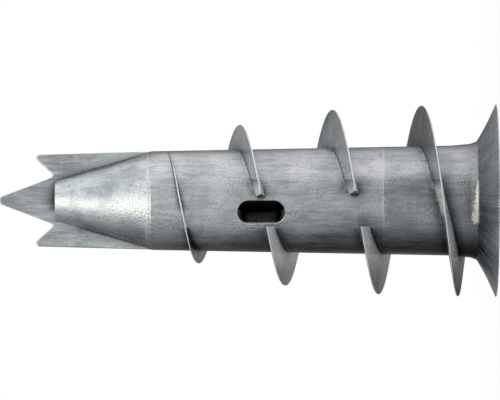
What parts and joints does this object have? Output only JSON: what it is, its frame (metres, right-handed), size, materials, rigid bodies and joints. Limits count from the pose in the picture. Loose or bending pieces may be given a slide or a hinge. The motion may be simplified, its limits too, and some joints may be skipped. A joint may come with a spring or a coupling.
{
  "type": "drywall anchor",
  "caption": "Self-drilling drywall anchor: one zinc casting with a flanged recessed head, tapered body, coarse thread, side windows and a forked blade point.",
  "frame": {"origin": "centre of the head's outer face, on the anchor's axis; the anchor stands on its head", "axes": "+Z along the axis from the head to the blade tip; the flat blade lies in the XZ plane; -Y is the side seen in the picture"},
  "size_m": [0.0148, 0.0148, 0.038],
  "materials": {
    "zinc": "raw die-cast zinc alloy, dull grey with a streaky bright sheen"
  },
  "bodies": {
    "root": {"anchor_body": "zinc"}
  },
  "joints": []
}
